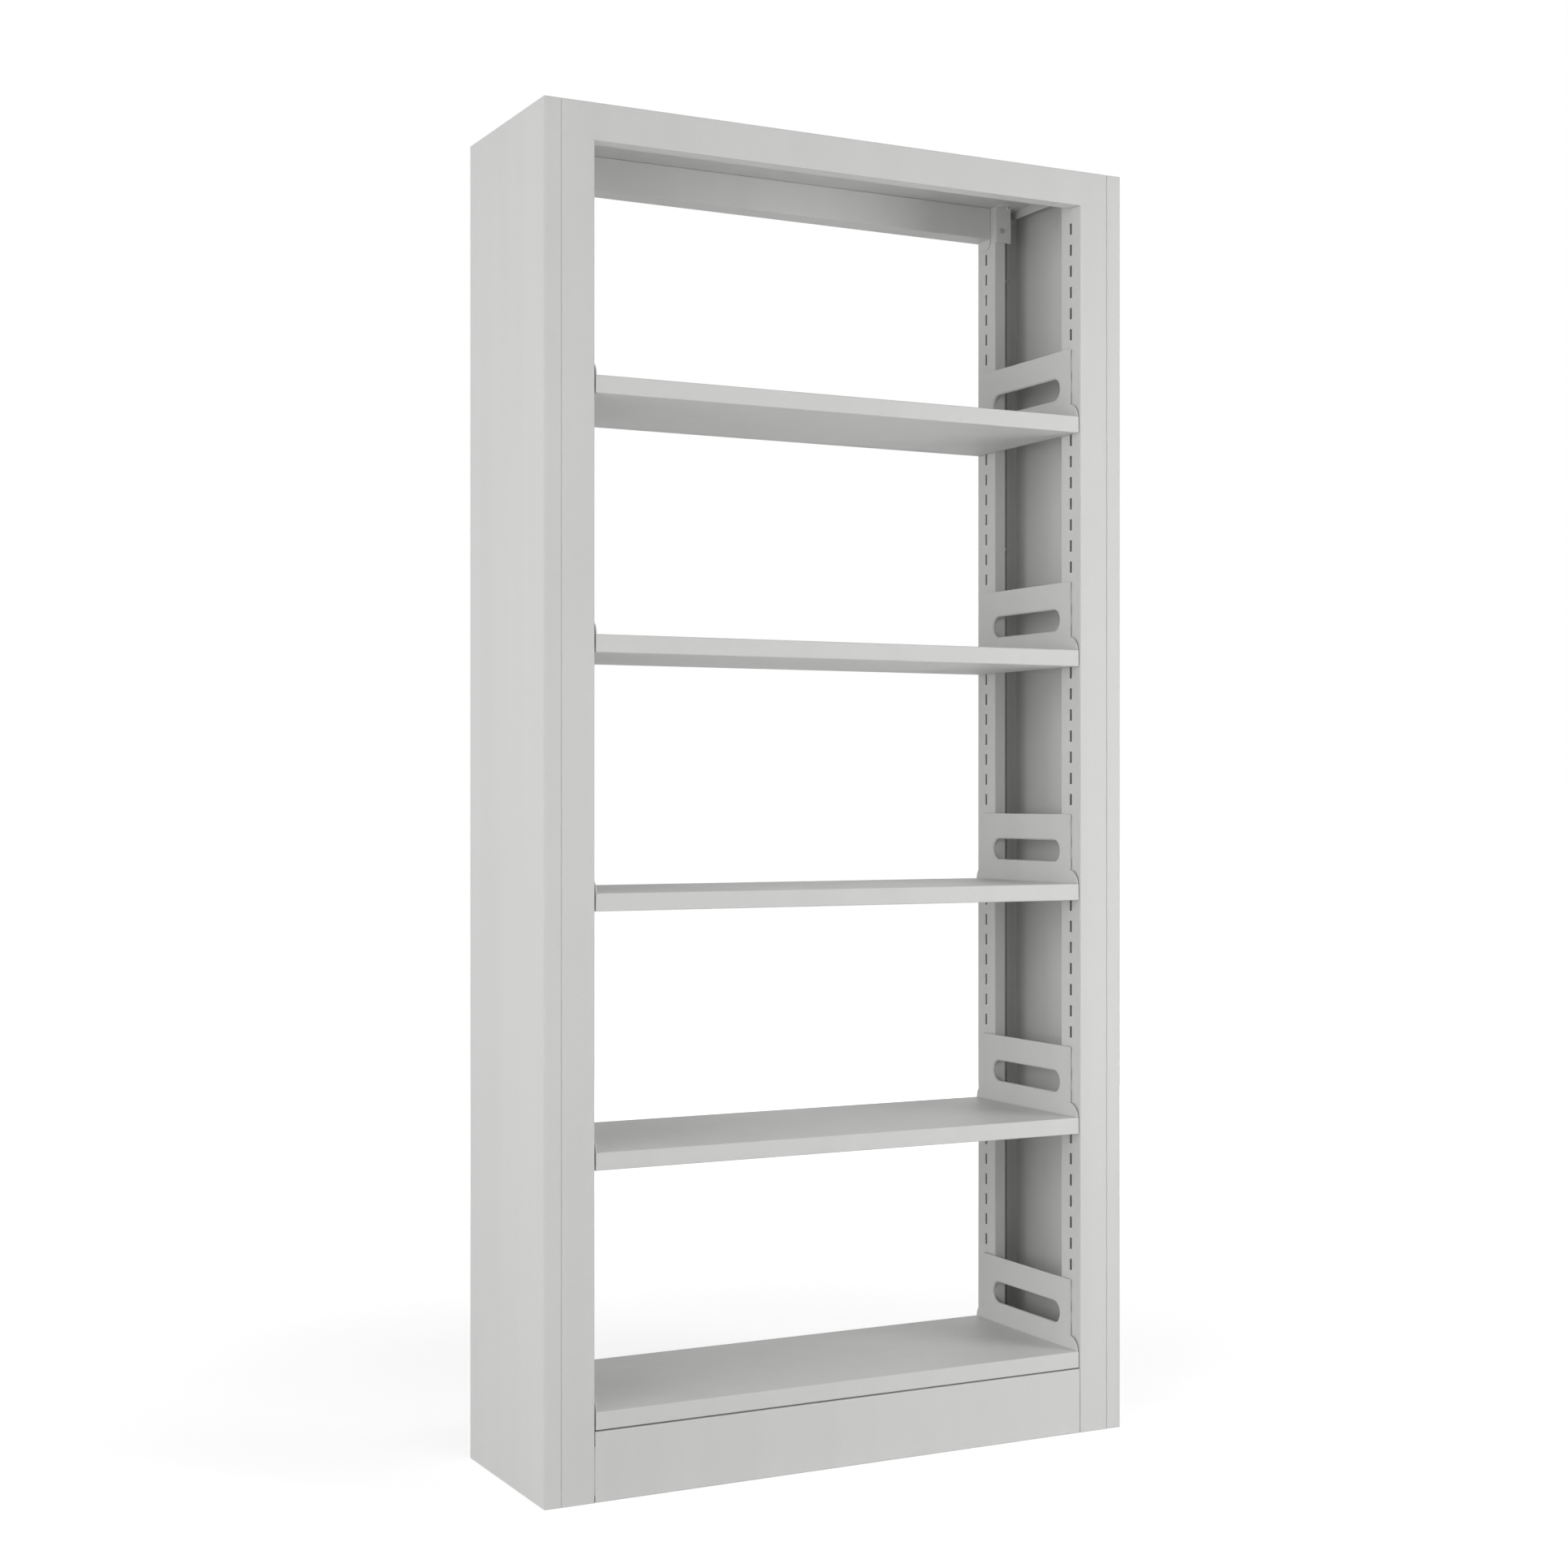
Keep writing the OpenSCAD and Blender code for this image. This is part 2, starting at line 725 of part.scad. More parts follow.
module tab_nuts_group() {
    color(zinc) at_corners() kick_bolt_places() nut(angle_t + upright_t);
    color(zinc) for (side = ["left", "right"])
        at_corner(side, "rear") rail_bolt_places() nut(angle_t + upright_t);
}

module lip_bolts_group() {
    color(zinc) at_corners() lip_bolt_places() bolt(angle_t + upright_t);
}

module lip_nuts_group() {
    color(zinc) at_corners() lip_bolt_places() nut(angle_t + upright_t);
}

module cover_nuts_group() {
    color(zinc) at_corners() stud_place() nut(angle_t);
}

for (side = ["left", "right"]) {
    side_panel(side);
    upright(side, "front");
    upright(side, "rear");
    top_angle(side, "front");
    top_angle(side, "rear");
    floor_tie(side);
}
top_cover();
rear_top_rail();
kick_plate();
rear_base_rail();
for (n = [1 : shelf_count]) {
    shelf_board(n);
    shelf_pan(n);
    bracket("left", n);
    bracket("right", n);
}
seam_bolts_group();  // seam_bolts
seam_nuts_group();  // seam_nuts
tab_bolts_group();  // tab_bolts
tab_nuts_group();  // tab_nuts
lip_bolts_group();  // lip_bolts
lip_nuts_group();  // lip_nuts
cover_nuts_group();  // cover_nuts
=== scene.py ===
"""Looks of a single-sided steel bookshelf: its powder coat, its zinc-plated fixings and the stage.

The folded sheets, boards and brackets are the frame's own nodes and get their finish here.
The bolts and nuts are new surfaces that stand for the frame's plain ones.
"""

import json
import math

import bpy
import numpy as np
from bpy.props import (
    FloatProperty,
    FloatVectorProperty,
    IntProperty,
    PointerProperty,
)
from bpy.types import Operator, Panel, PropertyGroup
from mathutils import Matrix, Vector

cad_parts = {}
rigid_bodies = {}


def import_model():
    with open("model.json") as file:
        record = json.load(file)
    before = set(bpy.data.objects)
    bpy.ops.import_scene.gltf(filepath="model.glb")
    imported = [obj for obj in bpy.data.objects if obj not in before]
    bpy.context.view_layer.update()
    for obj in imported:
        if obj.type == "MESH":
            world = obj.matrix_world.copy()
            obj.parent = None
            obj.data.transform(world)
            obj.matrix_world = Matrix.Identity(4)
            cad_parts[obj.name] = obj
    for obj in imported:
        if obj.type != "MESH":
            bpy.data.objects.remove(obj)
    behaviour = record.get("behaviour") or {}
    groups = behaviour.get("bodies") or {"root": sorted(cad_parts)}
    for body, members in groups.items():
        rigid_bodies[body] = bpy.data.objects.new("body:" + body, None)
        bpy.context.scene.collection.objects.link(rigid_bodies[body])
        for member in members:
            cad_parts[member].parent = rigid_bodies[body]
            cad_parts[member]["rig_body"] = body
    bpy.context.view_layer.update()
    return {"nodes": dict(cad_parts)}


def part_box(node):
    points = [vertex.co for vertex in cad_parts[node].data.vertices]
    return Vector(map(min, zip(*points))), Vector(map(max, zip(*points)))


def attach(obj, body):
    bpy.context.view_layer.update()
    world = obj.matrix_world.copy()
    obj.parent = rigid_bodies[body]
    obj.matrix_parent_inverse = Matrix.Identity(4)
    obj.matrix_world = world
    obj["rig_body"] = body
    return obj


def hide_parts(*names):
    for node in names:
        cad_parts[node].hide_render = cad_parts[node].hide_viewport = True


bl_info = {
    "name": "Single-Sided Steel Bookshelf",
    "version": (1, 0, 0),
    "blender": (4, 5, 0),
    "location": "3D View > Sidebar > Bookshelf",
    "description": "Powder coat, fixings and stage for a steel library bookshelf",
    "category": "Object",
}

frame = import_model()

MM = 0.001
FIXINGS = (
    "seam_bolts",
    "seam_nuts",
    "tab_bolts",
    "tab_nuts",
    "lip_bolts",
    "lip_nuts",
    "cover_nuts",
)

# Sheets that the fixings clamp. The tabs, the floor ties and the top angles are alike
PANEL_SHEET = 1.2 * MM
UPRIGHT_SHEET = 1.5 * MM
TAB_SHEET = 2 * MM

# Bolts in one seam, and the distance between the two bolts in an end of the rear top rail
SEAM_BOLTS = 5
RAIL_BOLT_STEP = 22 * MM

# Camera of the photograph: its place, its level heading, the width of its film in millimetres,
# the picture's width in pixels, and how many of them the horizon lies below the middle
VIEWPOINT = (-1.758, -3.341, 1.0093)
HEADING = (0.4587, 0.8886, 0)
FILM_WIDTH = 36
PHOTO_PIXELS = 1932
HORIZON_PIXELS = 15

# Sockets of a Mix node for colours, by number because its other kinds have the same names
MIX_A, MIX_B, MIX_RESULT = 6, 7, 2


def linear(code):
    """Linear colour of an sRGB hex value such as #dbdbda."""
    parts = [int(code[i : i + 2], 16) / 255 for i in (1, 3, 5)]
    return [c / 12.92 if c <= 0.04045 else ((c + 0.055) / 1.055) ** 2.4 for c in parts]


class CoatSettings(PropertyGroup):
    """Powder coat of the folded sheets"""

    colour: FloatVectorProperty(
        name="Colour",
        description="Light grey of the powder coat",
        subtype="COLOR",
        min=0,
        max=1,
        default=linear("#dbdbda"),
    )
    roughness: FloatProperty(
        name="Roughness",
        description="Roughness of the matt coat",
        min=0,
        max=1,
        default=0.64,
    )
    peel_size: FloatProperty(
        name="Peel size",
        description="Width of one swelling of the orange peel",
        unit="LENGTH",
        default=2.5 * MM,
    )
    peel_height: FloatProperty(
        name="Peel height",
        description="Height of the orange peel",
        unit="LENGTH",
        default=0.02 * MM,
    )
    edge_radius: FloatProperty(
        name="Edge radius",
        description="Radius that the coat gives a cut edge of the sheet",
        unit="LENGTH",
        default=0.4 * MM,
    )


class FixingSettings(PropertyGroup):
    """Hexagon bolts and nuts with metric coarse threads"""

    colour: FloatVectorProperty(
        name="Colour",
        description="Colour of the zinc plating",
        subtype="COLOR",
        min=0,
        max=1,
        default=linear("#cdd0d1"),
    )
    corners: FloatProperty(
        name="Across corners",
        description="Width of a head or nut across its corners",
        unit="LENGTH",
        default=9 * MM,
    )
    head: FloatProperty(
        name="Head height",
        description="Height of a bolt head",
        unit="LENGTH",
        default=3.2 * MM,
    )
    nut: FloatProperty(
        name="Nut height",
        description="Height of a nut",
        unit="LENGTH",
        default=4 * MM,
    )
    thread: FloatProperty(
        name="Thread diameter",
        description="Outer diameter of the thread",
        unit="LENGTH",
        default=5 * MM,
    )
    pitch: FloatProperty(
        name="Thread pitch",
        description="Rise of the thread in one turn",
        unit="LENGTH",
        default=0.8 * MM,
    )
    bore: FloatProperty(
        name="Nut bore",
        description="Diameter of the bore in a nut",
        unit="LENGTH",
        default=5.2 * MM,
    )
    past_nut: FloatProperty(
        name="Past the nut",
        description="Thread that stands past a nut",
        unit="LENGTH",
        default=1 * MM,
    )
    facets: IntProperty(
        name="Facets",
        description="Points round a fixing, a multiple of six",
        min=12,
        max=96,
        default=36,
    )


class StageSettings(PropertyGroup):
    """Floor, lights and camera"""

    room: FloatProperty(
        name="Room light",
        description="Strength of the even light from all round",
        min=0,
        default=0.24,
    )
    left: FloatProperty(
        name="Left lamp",
        description="Power of the soft lamp on the left",
        subtype="POWER",
        unit="POWER",
        default=37,
    )
    front_left: FloatProperty(
        name="Front left lamp",
        description="Power of the soft lamp at the front left",
        subtype="POWER",
        unit="POWER",
        default=44,
    )
    front_right: FloatProperty(
        name="Front right lamp",
        description="Power of the soft lamp at the front right",
        subtype="POWER",
        unit="POWER",
        default=44,
    )
    top: FloatProperty(
        name="Top lamp",
        description="Power of the soft lamp above",
        subtype="POWER",
        unit="POWER",
        default=14,
    )
    rear_left: FloatProperty(
        name="Rear left lamp",
        description="Power of the soft lamp at the rear left",
        subtype="POWER",
        unit="POWER",
        default=29,
    )
    rear_right: FloatProperty(
        name="Rear right lamp",
        description="Power of the soft lamp at the rear right",
        subtype="POWER",
        unit="POWER",
        default=28,
    )
    lens: FloatProperty(
        name="Lens",
        description="Focal length of the camera",
        subtype="DISTANCE_CAMERA",
        unit="CAMERA",
        default=55.47,
    )


class BookshelfSettings(PropertyGroup):
    """Settings of the bookshelf's looks"""

    coat: PointerProperty(type=CoatSettings)
    fixing: PointerProperty(type=FixingSettings)
    stage: PointerProperty(type=StageSettings)


# Materials


def add_node(tree, kind, links=(), **settings):
    """Adds a node. Settings named in lower case are the node's own, the rest are input values
    by name with _ for a space. Each link is (input, from node, from output), and inputs that
    share a name go by number."""
    node = tree.nodes.new(kind)
    for name, value in settings.items():
        if name[0].islower():
            setattr(node, name, value)
        else:
            node.inputs[name.replace("_", " ")].default_value = value
    for target, source, output in links:
        tree.links.new(source.outputs[output], node.inputs[target])
    return node


def new_material(name):
    """An empty material with its output node."""
    material = bpy.data.materials.new(name)
    material.use_nodes = True
    material.node_tree.nodes.clear()
    return material, material.node_tree, add_node(material.node_tree, "ShaderNodeOutputMaterial")


def powder_coat(settings):
    """Polyester powder coat on folded mild steel, sprayed on and melted in an oven. The melt
    levels out to a matt skin with a fine orange peel, the film is a little thicker and darker in
    some places than in others, and it draws back from every cut edge, which is therefore rounded.
    The rounded cut edges also get a painted highlight: their colour is made a touch paler."""
    material, tree, output = new_material("polyester_powder_coat")
    colour = np.array(settings.colour[:3])
    place = add_node(tree, "ShaderNodeTexCoord")

    # Film thickness drifts over the width of a panel, and the gun's passes run down the sheets
    drift_width = 280 * MM
    pass_width, pass_length = 50 * MM, 1300 * MM
    pass_share = 0.6
    drift = add_node(
        tree, "ShaderNodeTexNoise", [("Vector", place, "Object")],
        Scale=1 / drift_width, Detail=2.0, Roughness=0.45,
    )
    stretch = add_node(
        tree, "ShaderNodeMapping", [("Vector", place, "Object")],
        Scale=(1 / pass_width, 1 / pass_width, 1 / pass_length),
    )
    passes = add_node(
        tree, "ShaderNodeTexNoise", [("Vector", stretch, "Vector")],
        Scale=1.0, Detail=1.0, Roughness=0.5,
    )
    film = add_node(
        tree, "ShaderNodeMath", [(0, passes, "Fac"), (2, drift, "Fac")],
        operation="MULTIPLY_ADD",
    )
    film.inputs[1].default_value = pass_share
    tone = add_node(tree, "ShaderNodeValToRGB", [("Fac", film, "Value")])
    thick, thin = tone.color_ramp.elements
    thick.position, thin.position = 0.45, 0.9583
    thick.color = (*(colour * 0.965), 1)
    thin.color = (*np.minimum(colour * 1.02, 1), 1)

    # Pigment grains of the powder, drawn at 1.2 mm because the real 0.05 mm can't show
    grain_width = 1.2 * MM
    grains = add_node(
        tree, "ShaderNodeTexNoise", [("Vector", place, "Object")],
        Scale=1 / grain_width, Detail=1.0, Roughness=0.6,
    )
    speckle = add_node(
        tree, "ShaderNodeMapRange", [("Value", grains, "Fac")],
        From_Min=0.3, From_Max=0.7, To_Min=0.985, To_Max=1.015,
    )
    tinted = add_node(
        tree, "ShaderNodeVectorMath", [(0, tone, "Color"), ("Scale", speckle, "Result")],
        operation="SCALE",
    )

    # The coat's round at a cut edge turns the normal, and how far it turns marks the edge, where
    # the colour gets a painted highlight
    edge = add_node(tree, "ShaderNodeBevel", samples=4, Radius=settings.edge_radius)
    shape = add_node(tree, "ShaderNodeNewGeometry")
    turn = add_node(
        tree, "ShaderNodeVectorMath", [(0, edge, "Normal"), (1, shape, "Normal")],
        operation="DOT_PRODUCT",
    )
    edge_highlight_mask = add_node(
        tree, "ShaderNodeMapRange", [("Value", turn, "Value")],
        From_Min=0.75, From_Max=0.995, To_Min=0.5, To_Max=0.0,
    )
    # Painted highlight: the colour at the cut edges is mixed towards a grey 6 percent paler
    edge_highlighted = add_node(
        tree, "ShaderNodeMix", [("Factor", edge_highlight_mask, "Result"), (MIX_A, tinted, "Vector")],
        data_type="RGBA",
    )
    edge_highlighted.inputs[MIX_B].default_value = (*np.minimum(colour * 1.06, 1), 1)

    # Orange peel: low swellings, with a finer ripple on them
    peel = add_node(
        tree, "ShaderNodeTexNoise", [("Vector", place, "Object")],
        Scale=1 / settings.peel_size, Detail=2.0, Roughness=0.4,
    )
    bump = add_node(
        tree, "ShaderNodeBump", [("Height", peel, "Fac"), ("Normal", edge, "Normal")],
        Strength=1.0, Distance=settings.peel_height,
    )
    gloss = add_node(
        tree, "ShaderNodeMapRange", [("Value", drift, "Fac")],
        From_Min=0.3, From_Max=0.7,
        To_Min=settings.roughness - 0.04, To_Max=settings.roughness + 0.04,
    )
    shader = add_node(
        tree, "ShaderNodeBsdfPrincipled",
        [
            ("Base Color", edge_highlighted, MIX_RESULT),
            ("Roughness", gloss, "Result"),
            ("Normal", bump, "Normal"),
        ],
        IOR=1.5, Metallic=0.0, Specular_IOR_Level=0.3,
    )
    tree.links.new(shader.outputs["BSDF"], output.inputs["Surface"])
    return material


def zinc_plate(settings):
    """Bright zinc on cold-headed steel, plated in a barrel and passivated blue. The metal is
    evenly satin with fine scuffs from the tumbling, and the passivation drifts between a
    bluish and a warm grey."""
    material, tree, output = new_material("barrel_plated_zinc")
    colour = np.array(settings.colour[:3])
    place = add_node(tree, "ShaderNodeTexCoord")
    drift_width = 4 * MM
    scuff_width = 0.6 * MM
    film = add_node(
        tree, "ShaderNodeTexNoise", [("Vector", place, "Object")],
        Scale=1 / drift_width, Detail=2.0,
    )
    tone = add_node(tree, "ShaderNodeValToRGB", [("Fac", film, "Fac")])
    bluish, warm = tone.color_ramp.elements
    bluish.position, warm.position = 0.35, 0.65
    bluish.color = (*(colour * (0.93, 0.97, 1.03)), 1)
    warm.color = (*(colour * (1.03, 1.0, 0.93)), 1)
    scuffs = add_node(
        tree, "ShaderNodeTexNoise", [("Vector", place, "Object")],
        Scale=1 / scuff_width, Detail=3.0, Roughness=0.7,
    )
    satin = add_node(
        tree, "ShaderNodeMapRange", [("Value", scuffs, "Fac")],
        From_Min=0.3, From_Max=0.7, To_Min=0.28, To_Max=0.44,
    )
    bump = add_node(
        tree, "ShaderNodeBump", [("Height", scuffs, "Fac")],
        Strength=0.5, Distance=0.01 * MM,
    )
    shader = add_node(
        tree, "ShaderNodeBsdfPrincipled",
        [
            ("Base Color", tone, "Color"),
            ("Roughness", satin, "Result"),
            ("Normal", bump, "Normal"),
        ],
        Metallic=1.0,
    )
    tree.links.new(shader.outputs["BSDF"], output.inputs["Surface"])
    return material


def coat(obj, material):
    """Gives a piece one material."""
    obj.data.materials.clear()
    obj.data.materials.append(material)


# Surfaces


def skin(rings, loop=False):
    """Faces over rings of points, an array of rings by points. Each ring closes on itself.
    With loop the last ring joins the first, as on a nut, and otherwise a point in the middle of
    the first and the last ring closes the ends. Gives the points, the corners of the quads
    between the rings and those of the triangles at the ends."""
    count, around = rings.shape[:2]
    points = rings.reshape(-1, 3)
    here = np.arange(around)
    following = (here + 1) % around
    rows = np.arange(count if loop else count - 1)[:, None]
    above = (rows + 1) % count
    quads = np.stack(
        [rows * around + here, rows * around + following, above * around + following,
         above * around + here],
        axis=-1,
    ).reshape(-1, 4)
    if loop:
        return points, quads, np.zeros((0, 3), int)
    middles = np.array([rings[0].mean(axis=0), rings[-1].mean(axis=0)])
    first, last = len(points), len(points) + 1
    low = np.stack([np.full(around, first), following, here], axis=-1)
    base = (count - 1) * around
    high = np.stack([np.full(around, last), base + here, base + following], axis=-1)
    return np.vstack([points, middles]), quads, np.vstack([low, high])


def half_width(fixing):
    """Half the width across the flats of a head or nut: half that across its corners times the
    cosine of 30 degrees."""
    return fixing.corners / 2 * math.cos(math.pi / 6)


def hexagon(angles, flat):
    """Distance from the middle to a hexagon's side: half the width across flats over the cosine
    of the angle from the nearest side's middle. The corners lie at 0, 60, 120 ... degrees."""
    return flat / np.cos(np.mod(angles, math.pi / 3) - math.pi / 6)


def chamfered(angles, heights, flat, low, high):
    """Radii of a hexagon block whose corners are turned off by a cone at each end, at 30 degrees
    to the end and from a circle of 0.95 of its width: the smaller of the hexagon and the two
    cones, for each height and angle."""
    slope = math.tan(math.radians(60))
    circle = 0.95 * flat
    cone = circle + slope * np.minimum(heights - low, high - heights)
    return np.minimum(hexagon(angles, flat)[None, :], cone[:, None])


def rings_at(angles, radii, heights):
    """Rings of points at the given heights. Radii is one row for each ring, or one number."""
    radii = np.broadcast_to(radii, (len(heights), len(angles)))
    return np.stack(
        [radii * np.cos(angles), radii * np.sin(angles),
         np.broadcast_to(heights[:, None], radii.shape)],
        axis=-1,
    )


def bolt_surface(fixing, grip):
    """Hexagon bolt, its seat at height 0 and its thread upwards. From the top of the head the
    profile runs out over the dished head face, down the chamfered hexagon to a thin washer
    face, in to the shank and up the thread to its chamfered point. The groove's depth is a
    triangle wave, cut flat at root and crest, of the height in pitches less the angle in turns."""
    angles = np.arange(fixing.facets) * 2 * math.pi / fixing.facets
    flat = half_width(fixing)

    # Head: its dish, as radii and depths, and shares of its height that crowd at the chamfers
    dish_radii = np.array([[0.1], [0.5], [0.68], [0.75]]) * flat
    dish_depths = np.array([0.25, 0.25, 0.05, 0]) * MM
    shares = np.array([0, 0.04, 0.08, 0.13, 0.2, 0.8, 0.87, 0.92, 0.96, 1])
    washer_radius, washer_height = 0.94 * flat, 0.3 * MM
    heights = -fixing.head + (fixing.head - washer_height) * shares
    block = chamfered(angles, heights, flat, -fixing.head, -washer_height)
    head = [
        rings_at(angles, dish_radii, -fixing.head + dish_depths),
        rings_at(angles, block, heights),
        rings_at(angles, washer_radius, np.array([-washer_height, 0])),
    ]

    # Thread: a metric one is 0.61 of its pitch deep, and starts a pitch below the nut
    radius = fixing.thread / 2
    length = grip + fixing.nut + fixing.past_nut
    depth = 0.61 * fixing.pitch
    least_shank = 0.2 * MM
    start = max(grip - fixing.pitch, least_shank)
    rings_in_turn = 8
    last_gap = 0.05 * MM
    rise = np.arange(start, length - last_gap, fixing.pitch / rings_in_turn)
    turn = np.mod(rise[:, None] / fixing.pitch - angles[None, :] / (2 * math.pi), 1)
    groove = depth * np.clip(1.4 * np.abs(2 * turn - 1) - 0.2, 0, 1)
    fade = np.clip((rise - start) / fixing.pitch, 0, 1)[:, None]
    point_length, point_depth = 0.7 * MM, 0.75 * depth
    point = np.clip((length - rise) / point_length, 0, 1)[:, None]
    ground = radius - point_depth * (1 - point)
    thread = np.minimum(radius - groove * fade, ground)
    shank = [
        rings_at(angles, radius, np.array([0, start])),
        rings_at(angles, thread, rise),
        rings_at(angles, radius - depth, np.array([length])),
    ]
    return skin(np.concatenate(head + shank)[::-1])


def nut_surface(fixing, grip):
    """Hexagon nut from the grip upwards: a profile that runs up the chamfered hexagon, in over
    the top face to the countersink, down the bore and back out under it, as a closed loop."""
    angles = np.arange(fixing.facets) * 2 * math.pi / fixing.facets
    flat = half_width(fixing)
    shares = np.array([0, 0.03, 0.06, 0.1, 0.16, 0.84, 0.9, 0.94, 0.97, 1])
    heights = grip + fixing.nut * shares
    block = chamfered(angles, heights, flat, grip, grip + fixing.nut)
    bore = fixing.bore / 2
    sink = 0.35 * MM
    inner = np.array([[bore + sink], [bore], [bore], [bore + sink]])
    levels = grip + np.array([fixing.nut, fixing.nut - sink, sink, 0])
    rings = np.concatenate([rings_at(angles, block, heights), rings_at(angles, inner, levels)])
    return skin(rings, loop=True)


def copies(surface, places):
    """One mesh's points and faces for a surface set at each place, a row of three points: the
    origin, the direction of its own Z and the direction of its own X."""
    points, quads, triangles = surface
    origins, ups, sides = (np.array([place[i] for place in places]) for i in range(3))
    across = np.cross(ups, sides)
    axes = np.stack([sides, across, ups], axis=1)
    spread = np.einsum("pk,nkc->npc", points, axes) + origins[:, None, :]
    shift = (np.arange(len(places)) * len(points))[:, None, None]
    return (
        spread.reshape(-1, 3),
        (quads[None] + shift).reshape(-1, 4),
        (triangles[None] + shift).reshape(-1, 3),
    )


def new_piece(name, node, surface, material):
    """Makes a piece that stands for a frame node, smooth but for edges over 30 degrees."""
    points, quads, triangles = surface
    mesh = bpy.data.meshes.new(name)
    mesh.from_pydata(points.tolist(), [], quads.tolist() + triangles.tolist())
    mesh.validate()
    mesh.shade_smooth()
    mesh.set_sharp_from_angle(angle=math.radians(30))
    piece = bpy.data.objects.new(name, mesh)
    bpy.context.scene.collection.objects.link(piece)
    coat(piece, material)
    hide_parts(node)
    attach(piece, frame["nodes"][node]["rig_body"])


def corner_places(points, up, side, ends=("front", "rear")):
    """Places at both sides and the named ends, from points given at the front left. The points
    and the direction of the bolts are mirrored, and the bolts themselves are only turned, so
    every thread stays right-handed."""
    places = []
    for x in (1, -1):
        for end in ends:
            flip = np.array([x, 1 if end == "front" else -1, 1])
            places += [(np.array(p) * flip, np.array(up) * flip, np.array(side)) for p in points]
    return places


def seam_places():
    """Seats of the bolts inside the seams, evenly spaced."""
    low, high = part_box("seam_bolts")
    fixing = bpy.context.scene.bookshelf.fixing
    reach = fixing.corners / 2
    x, y = low.x + fixing.head, low.y + half_width(fixing)
    heights = np.linspace(low.z + reach, high.z - reach, SEAM_BOLTS)
    return corner_places([(x, y, z) for z in heights], (1, 0, 0), (0, 0, -1))


def tab_places():
    """Seats of the bolts through the rails' end tabs: two at each end of the kick plate and of
    the rear base rail, as far from its top as from the floor, and two at each end of the rear
    top rail."""
    low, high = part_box("tab_bolts")
    kick_low, kick_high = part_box("kick_plate")
    fixing = bpy.context.scene.bookshelf.fixing
    reach = fixing.corners / 2
    x, y = kick_low.x + TAB_SHEET, low.y + half_width(fixing)
    base, roof = low.z + reach, high.z - reach
    base_points = [(x, y, base), (x, y, kick_high.z - base)]
    roof_points = [(x, y, roof - RAIL_BOLT_STEP), (x, y, roof)]
    outwards, upright = (-1, 0, 0), (0, 0, 1)
    return corner_places(base_points, outwards, upright) + corner_places(
        roof_points, outwards, upright, ends=("rear",)
    )


def lip_places():
    """Seats of the bolts through the uprights' lips, one at each floor tie and top angle."""
    low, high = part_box("lip_bolts")
    tie_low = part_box("floor_tie_left")[0]
    fixing = bpy.context.scene.bookshelf.fixing
    flat = half_width(fixing)
    x, y = low.x + fixing.corners / 2, tie_low.y + TAB_SHEET
    return corner_places([(x, y, low.z + flat), (x, y, high.z - flat)], (0, -1, 0), (1, 0, 0))


def stud_places():
    """Seats of the nuts on the cover's studs, against the underside of the cover."""
    low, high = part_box("cover_nuts")
    fixing = bpy.context.scene.bookshelf.fixing
    x, y = low.x + fixing.corners / 2, low.y + half_width(fixing)
    return corner_places([(x, y, high.z)], (0, 0, -1), (1, 0, 0))


def bolts_and_nuts(kind, fixing, grip, places):
    """The bolts of one kind and their nuts, which clamp sheets of the grip's thickness."""
    material = zinc_plate(fixing)
    for part, surface in (("bolts", bolt_surface), ("nuts", nut_surface)):
        node = f"{kind}_{part}"
        new_piece(f"{node}_turned", node, copies(surface(fixing, grip), places), material)


class BOOKSHELF_OT_sheets(Operator):
    """Powder-coats every sheet of the unit: panels, uprights, rails, boards and brackets"""

    bl_idname = "bookshelf.sheets"
    bl_label = "Coat the Sheets"

    def execute(self, context):
        material = powder_coat(context.scene.bookshelf.coat)
        sheets = [name for name in frame["nodes"] if name not in FIXINGS]
        if not sheets:
            raise RuntimeError("the frame holds no sheets to coat")
        for name in sheets:
            coat(frame["nodes"][name], material)
        return {"FINISHED"}


class BOOKSHELF_OT_seam_fixings(Operator):
    """Makes the bolts and nuts that join the side panels to the uprights"""

    bl_idname = "bookshelf.seam_fixings"
    bl_label = "Make the Seam Fixings"

    def execute(self, context):
        fixing = context.scene.bookshelf.fixing
        bolts_and_nuts("seam", fixing, PANEL_SHEET + UPRIGHT_SHEET, seam_places())
        return {"FINISHED"}


class BOOKSHELF_OT_tab_fixings(Operator):
    """Makes the bolts and nuts through the rails' end tabs"""

    bl_idname = "bookshelf.tab_fixings"
    bl_label = "Make the Tab Fixings"

    def execute(self, context):
        fixing = context.scene.bookshelf.fixing
        bolts_and_nuts("tab", fixing, TAB_SHEET + UPRIGHT_SHEET, tab_places())
        return {"FINISHED"}


class BOOKSHELF_OT_lip_fixings(Operator):
    """Makes the bolts and nuts that hold the floor ties and the top angles"""

    bl_idname = "bookshelf.lip_fixings"
    bl_label = "Make the Lip Fixings"

    def execute(self, context):
        fixing = context.scene.bookshelf.fixing
        bolts_and_nuts("lip", fixing, TAB_SHEET + UPRIGHT_SHEET, lip_places())
        return {"FINISHED"}


class BOOKSHELF_OT_cover_nuts(Operator):
    """Makes the nuts on the cover's weld studs"""

    bl_idname = "bookshelf.cover_nuts"
    bl_label = "Make the Cover Nuts"

    def execute(self, context):
        fixing = context.scene.bookshelf.fixing
        nuts = copies(nut_surface(fixing, grip=0), stud_places())
        new_piece("cover_nuts_turned", "cover_nuts", nuts, zinc_plate(fixing))
        return {"FINISHED"}


# Stage


